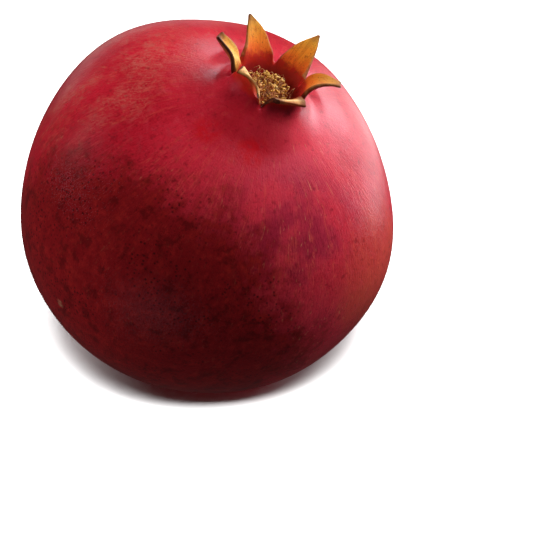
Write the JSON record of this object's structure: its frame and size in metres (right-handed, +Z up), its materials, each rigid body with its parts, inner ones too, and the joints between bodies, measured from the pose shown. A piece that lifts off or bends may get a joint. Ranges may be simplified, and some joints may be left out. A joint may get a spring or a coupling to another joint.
{
  "type": "pomegranate",
  "caption": "Whole ripe pomegranate with a crown of sepals and a tuft of dried stamens, lying at rest with the crown leaning to one side.",
  "frame": {"origin": "middle of the flat spot that the fruit rests on", "axes": "+Z up, +X towards the side that the crown leans to"},
  "size_m": [0.1001, 0.0992, 0.104],
  "materials": {
    "rind": "smooth waxy fruit skin with a soft gloss, crimson mottled with maroon, turning orange to brown on the sepals",
    "stamens": "dry and matt, golden tan",
    "stalk": "dry woody bark with a pale cut end"
  },
  "bodies": {
    "root": {"rind": "rind", "stamens": "stamens", "stalk_stub": "stalk"}
  },
  "joints": []
}
